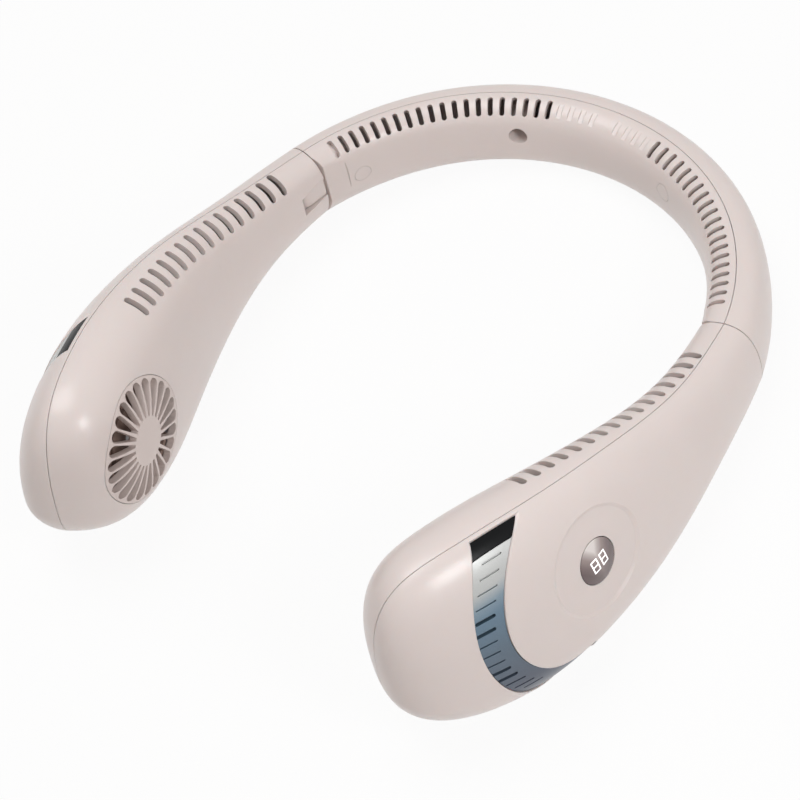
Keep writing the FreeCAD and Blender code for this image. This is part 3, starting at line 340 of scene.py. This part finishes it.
# Paint of the louvre bands, with its shades from the lowest height to the highest

LOUVRE_LOW = 4 * MM
LOUVRE_HIGH = 60 * MM
LOUVRE_SHADES = ((0.0, (76, 82, 96)), (0.3, (86, 94, 109)), (0.58, (96, 114, 130)),
                 (0.76, (104, 130, 150)), (0.82, (134, 154, 168)), (0.88, (194, 196, 195)),
                 (1.0, (206, 207, 205)))
LOUVRE_EDGE = 0.15 * MM
LOUVRE_LEAST_ROUGH = 0.3
FLAKE = 3500.0
FLAKE_DETAIL = 1.0
FLAKE_LIGHT = 0.93
FLAKE_ROUGH = 0.1
FLAKE_RELIEF = 0.05


def louvre_paint():
    """Metallic paint: silver at the top, light blue below it, and slate blue at the bottom."""
    finish, start = new_finish("louvre_paint")
    share = (start.height() - LOUVRE_LOW) * (1 / (LOUVRE_HIGH - LOUVRE_LOW))
    flake = start.noise(FLAKE, FLAKE_DETAIL)
    fade = start.ramp(share, shade_stops(LOUVRE_SHADES))
    deep = start.ramp(share, shade_stops(LOUVRE_SHADES, FLAKE_LIGHT))
    surface(start, {"Base Color": start.mix(flake, deep, fade),
                    "Metallic": 0.2,
                    "Roughness": LOUVRE_LEAST_ROUGH + flake * FLAKE_ROUGH,
                    "Coat Weight": 0.15,
                    "Coat Roughness": 0.1,
                    "Normal": start.softened(LOUVRE_EDGE, flake, FLAKE_RELIEF, FINE_DEEP)})
    return finish


# Display lens, painted reflection over its smoked tint: its shade at the middle, the painted shade that the
# ends add and the painted highlight that the upper edge takes off

LENS_MIDDLE = 0.35
LENS_PAINTED_END_SHADE = 0.8
LENS_PAINTED_HIGHLIGHT = 0.6
LENS_PAINTED_REFLECTION_SHADES = ((0.0, (228, 221, 218)), (0.18, (192, 181, 178)), (0.42, (152, 136, 133)),
               (0.75, (120, 102, 101)), (1.0, (98, 80, 80)))
LENS_EDGE = 0.2 * MM
LENS_LEAST_ROUGH = 0.12
LENS_ROUGH = 0.06


def smoked_lens():
    """Smoked lens with painted reflection: painted shade makes it dark towards both ends of the reading
    direction, and a painted highlight makes it palest along its upper edge.
    """
    finish, start = new_finish("smoked_lens")
    across, up, _ = display_axes()
    crown = display_crown()
    # Painted shade grows towards both ends of the reading direction, and a painted highlight lies along the
    # upper edge
    ends = abs(start.reach(crown, across)) * (LENS_PAINTED_END_SHADE / BUTTON_RADIUS)
    upper = start.reach(crown, up) * (LENS_PAINTED_HIGHLIGHT / BUTTON_RADIUS)
    smear, normal = smears(start, LENS_EDGE)
    surface(start, {"Base Color": start.ramp(ends - upper + LENS_MIDDLE, shade_stops(LENS_PAINTED_REFLECTION_SHADES)),
                    "Roughness": LENS_LEAST_ROUGH + smear * LENS_ROUGH,
                    "Coat Weight": 0.5,
                    "Coat Roughness": 0.05,
                    "Normal": normal})
    return finish


# Lit digits

GLIMMER = 900.0
GLIMMER_LEAST_ROUGH = 0.4
GLIMMER_ROUGH = 0.1


def lit_digits():
    """Lit digits: white light with a faint unevenness along the strokes."""
    finish, start = new_finish("lit_digits")
    drift = start.noise(GLIMMER)
    surface(start, {"Base Color": tint(250, 250, 250),
                    "Roughness": GLIMMER_LEAST_ROUGH + drift * GLIMMER_ROUGH,
                    "Emission Color": start.mix(drift, tint(242, 242, 244), tint(255, 255, 255)),
                    "Emission Strength": 0.7})
    return finish


# Black windows

WINDOW_EDGE = 0.15 * MM
WINDOW_LEAST_ROUGH = 0.22
WINDOW_ROUGH = 0.08


def black_window():
    """Black gloss window with a low, even sheen."""
    finish, start = new_finish("window_black")
    smear, normal = smears(start, WINDOW_EDGE)
    surface(start, {"Base Color": start.mix(smear, tint(9, 10, 11), tint(16, 17, 18)),
                    "Roughness": WINDOW_LEAST_ROUGH + smear * WINDOW_ROUGH,
                    "Specular IOR Level": 0.12,
                    "Normal": normal})
    return finish


# The finish of each material slot, and of the digits

FINISHES = {
    "shell": moulded("shell_plastic", tint(229, 218, 214), rough=0.3, glow=0.2),
    "grille": moulded("grille_plastic", tint(224, 211, 206), rough=0.38, edge=0.25 * MM),
    # Inner parts: the shell's hue with painted shade, darkened to the brown that the openings show
    "inner_plastic": moulded("inner_plastic", tint(150, 128, 118), rough=0.55, edge=0.15 * MM),
    "window": black_window(),
    "louvre": louvre_paint(),
    "smoked_lens": smoked_lens(),
    "lit_digits": lit_digits(),
    "display_screen": gloss("display_dark", tint(46, 46, 48), rough=0.15),
    "switch": moulded("switch_black", tint(52, 52, 52), rough=0.5, edge=0.1 * MM),
    "circuit_board": gloss("board_lacquer", tint(38, 110, 66), rough=0.3),
    "battery_wrap": gloss("battery_wrap", tint(70, 120, 165), rough=0.25),
    "inlet": metal("inlet_sheet", tint(205, 206, 208), rough=0.28),
    "steel": metal("bright_steel", tint(196, 196, 198), rough=0.3),
    "bronze": metal("bush_bronze", tint(205, 175, 130), rough=0.35),
    "stator": metal("stator_laminations", tint(150, 110, 80), rough=0.45),
    "magnet": metal("magnet_ring", tint(90, 90, 94), rough=0.5),
    "wire": moulded("wire_jacket", tint(60, 58, 60), rough=0.5, edge=0.2 * MM),
}


# Dress the solids

WELD_REACH = 0.0005 * MM
SHARP_ANGLE = math.radians(30)


def dress(item):
    """The finish of the node's slot, and smooth shading: faces are welded, then parted at sharp edges."""
    slot = item.data.materials[0].name
    item.data.materials.clear()
    item.data.materials.append(FINISHES[slot])
    smooth(item.data)
    weld = item.modifiers.new("weld", "WELD")
    weld.merge_threshold = WELD_REACH
    split = item.modifiers.new("edges", "EDGE_SPLIT")
    split.split_angle = SHARP_ANGLE
    split.use_edge_sharp = False


for solid in frame["nodes"].values():
    dress(solid)


# Digits on the round display

DIGIT_PITCH = 3.43 * MM
DIGIT_WIDE = 2.05 * MM
DIGIT_TALL = 3.7 * MM
STROKE_HALF = 0.21 * MM
STROKE_RISE = 0.06 * MM


def dome_height(radius):
    """Height of the spherical dome at a distance from its axis, counted from its top, so never above 0."""
    ball = (BUTTON_RADIUS ** 2 + BUTTON_RISE ** 2) / (2 * BUTTON_RISE)
    return np.sqrt(ball ** 2 - radius ** 2) - ball


def digit_strokes():
    """Middle, direction and half length of the seven strokes of an eight, for both digits.

    Level strokes lie at the bottom, the middle and the top, and upright ones beside both halves."""
    wide = DIGIT_WIDE / 2
    tall = DIGIT_TALL / 2
    level = [((0.0, row * tall), (1.0, 0.0), wide) for row in (-1, 0, 1)]
    upright = [((side * wide, row * tall / 2), (0.0, 1.0), tall / 2)
               for side in (-1, 1) for row in (-1, 1)]
    middles, directions, halves = zip(*(level + upright))
    shift = np.array([DIGIT_PITCH / 2, 0.0])
    both = np.concatenate([middles - shift, middles + shift])
    return both, np.tile(directions, (2, 1)), np.tile(halves, 2)


def stroke_beads(rows=21, columns=10):
    """Beads with an elliptic section, carried along each stroke and closed by round ends.

    Over a half turn, a ring lies past the stroke's end by the half width times the turn's cosine,
    and is as wide as the half width times its sine. The middle ring lies halfway along the stroke.
    Each point is then lifted by the height of the dome at its place and by the bead's own height."""
    middles, directions, halves = digit_strokes()
    turn = np.linspace(0.0, np.pi, rows)
    end = np.sign(rows // 2 - np.arange(rows))
    along = halves[:, None] * end + STROKE_HALF * np.cos(turn)
    angle = np.linspace(0.0, 2 * np.pi, columns, endpoint=False)
    sideways = STROKE_HALF * np.sin(turn)[:, None] * np.cos(angle)
    lift = STROKE_RISE * np.sin(turn)[:, None] * np.sin(angle)
    normals = np.stack([-directions[:, 1], directions[:, 0]], -1)
    flat = (middles[:, None, None] + along[:, :, None, None] * directions[:, None, None]
            + sideways[..., None] * normals[:, None, None])
    height = dome_height(np.linalg.norm(flat, axis=-1)) + lift
    across, up, out = display_axes()
    points = display_crown() + flat[..., :1] * across + flat[..., 1:] * up + height[..., None] * out
    starts = np.arange(len(halves)) * rows * columns
    return points, (starts[:, None, None] + ring_faces(rows, columns)).reshape(-1, 4)


digits = make_piece("display_digits", *stroke_beads())
digits.data.materials.append(FINISHES["lit_digits"])
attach(digits, "display_button")


# Studio lamps: name, place and diameter in metres, and power in watts of each

TARGET = np.array([0.0, -25.0, 25.0]) * MM
LAMP_COLOUR = (0.965, 0.985, 1.0)
LAMPS = (
    ("overhead_softbox", (-0.3, -0.02, 1.25), 0.9, 8.2),
    ("side_softbox", (0.7, -0.12, 0.58), 0.3, 2.7),
)


def area_lamp(name, spot, size, power):
    """Round area lamp at a spot, aimed at the target."""
    lamp = bpy.data.lights.new(name, "AREA")
    lamp.shape = "DISK"
    lamp.size = size
    lamp.energy = power
    lamp.color = LAMP_COLOUR
    item = place_in_scene(name, lamp)
    item.location = spot
    item.rotation_euler = Vector(unit(TARGET - spot)).to_track_quat("-Z", "Y").to_euler()


for lamp_facts in LAMPS:
    area_lamp(*lamp_facts)


# Floor and world

FLOOR_REACH = 3.0
FLOOR_COLOUR = (0.82, 0.81, 0.8, 1.0)
FLOOR_LIFT = 0.93
WHITE = (1.0, 1.0, 1.0, 1.0)
AMBIENT_COLOUR = (1.0, 0.91, 0.86, 1.0)
AMBIENT_STRENGTH = 0.32


def background_rays(start):
    """1 for rays that should see a white background: camera, glossy and transmitted ones."""
    seen, glossy, through = [start.node("ShaderNodeLightPath", out=f"Is {kind} Ray")
                             for kind in ("Camera", "Glossy", "Transmission")]
    return start.maths("MAXIMUM", start.maths("MAXIMUM", seen, glossy), through)


def floor_finish():
    """Matt pale floor, lifted almost to white for the rays that see the background."""
    finish, start = new_finish("studio_floor")
    plain = start.node("ShaderNodeBsdfDiffuse", sockets={"Color": FLOOR_COLOUR})
    white = start.node("ShaderNodeEmission", sockets={"Color": WHITE, "Strength": 1.0})
    lift = background_rays(start) * FLOOR_LIFT
    mixed = start.node("ShaderNodeMixShader", sockets={0: lift, 1: plain, 2: white})
    start.node("ShaderNodeOutputMaterial", sockets={"Surface": mixed})
    return finish


def make_floor():
    """Square floor at height 0."""
    sides = ((-1, -1), (1, -1), (1, 1), (-1, 1))
    mesh = bpy.data.meshes.new("floor")
    mesh.from_pydata([(x * FLOOR_REACH, y * FLOOR_REACH, 0.0) for x, y in sides], [], [(0, 1, 2, 3)])
    mesh.materials.append(floor_finish())
    return place_in_scene("floor", mesh)


def studio_world():
    """World that is white to the rays that see the background, and a dim warm light to the rest."""
    world = bpy.data.worlds.new("studio")
    world.use_nodes = True
    world.node_tree.nodes.clear()
    start = Wire(world.node_tree)
    ambient = start.node("ShaderNodeBackground",
                         sockets={"Color": AMBIENT_COLOUR, "Strength": AMBIENT_STRENGTH})
    backdrop = start.node("ShaderNodeBackground", sockets={"Color": WHITE, "Strength": 1.0})
    mixed = start.node("ShaderNodeMixShader",
                       sockets={0: background_rays(start), 1: ambient, 2: backdrop})
    start.node("ShaderNodeOutputWorld", sockets={"Surface": mixed})
    return world


floor = make_floor()
bpy.context.scene.world = studio_world()


# Camera

CAMERA_AZIMUTH = math.radians(45.3583)
CAMERA_ELEVATION = math.radians(50.4355)
CAMERA_ROLL = math.radians(-14.2511)
CAMERA_DISTANCE = 741.687 * MM
FOCAL_PIXELS = 2578.355
FRAME_PIXELS = 800
# Width of the sensor in millimetres, which lens lengths are counted in too
SENSOR = 36.0
# How far the target lies right of and above the picture's middle
TARGET_RIGHT_PIXELS = 26.76
TARGET_UP_PIXELS = 54.223


def place_camera():
    """Camera at the photograph's angle, turned so that the target lies right of and above the middle."""
    flat = math.cos(CAMERA_ELEVATION)
    level = np.array([math.cos(CAMERA_AZIMUTH), math.sin(CAMERA_AZIMUTH), 0.0])
    back = np.array([flat * level[1], -flat * level[0], math.sin(CAMERA_ELEVATION)])
    raised = np.cross(back, level)
    right = math.cos(CAMERA_ROLL) * level + math.sin(CAMERA_ROLL) * raised
    up = np.cross(back, right)
    spot = TARGET + back * CAMERA_DISTANCE
    away = unit(back + (right * TARGET_RIGHT_PIXELS + up * TARGET_UP_PIXELS) / FOCAL_PIXELS)
    side = unit(np.cross(up, away))
    turn = np.eye(4)
    turn[:3] = np.stack([side, np.cross(away, side), away, spot], -1)
    lens = bpy.data.cameras.new("camera")
    lens.sensor_width = SENSOR
    lens.lens = SENSOR * FOCAL_PIXELS / FRAME_PIXELS
    item = place_in_scene("camera", lens)
    item.matrix_world = Matrix(turn.tolist())
    bpy.context.scene.camera = item


place_camera()
bpy.context.scene.view_settings.view_transform = "Standard"
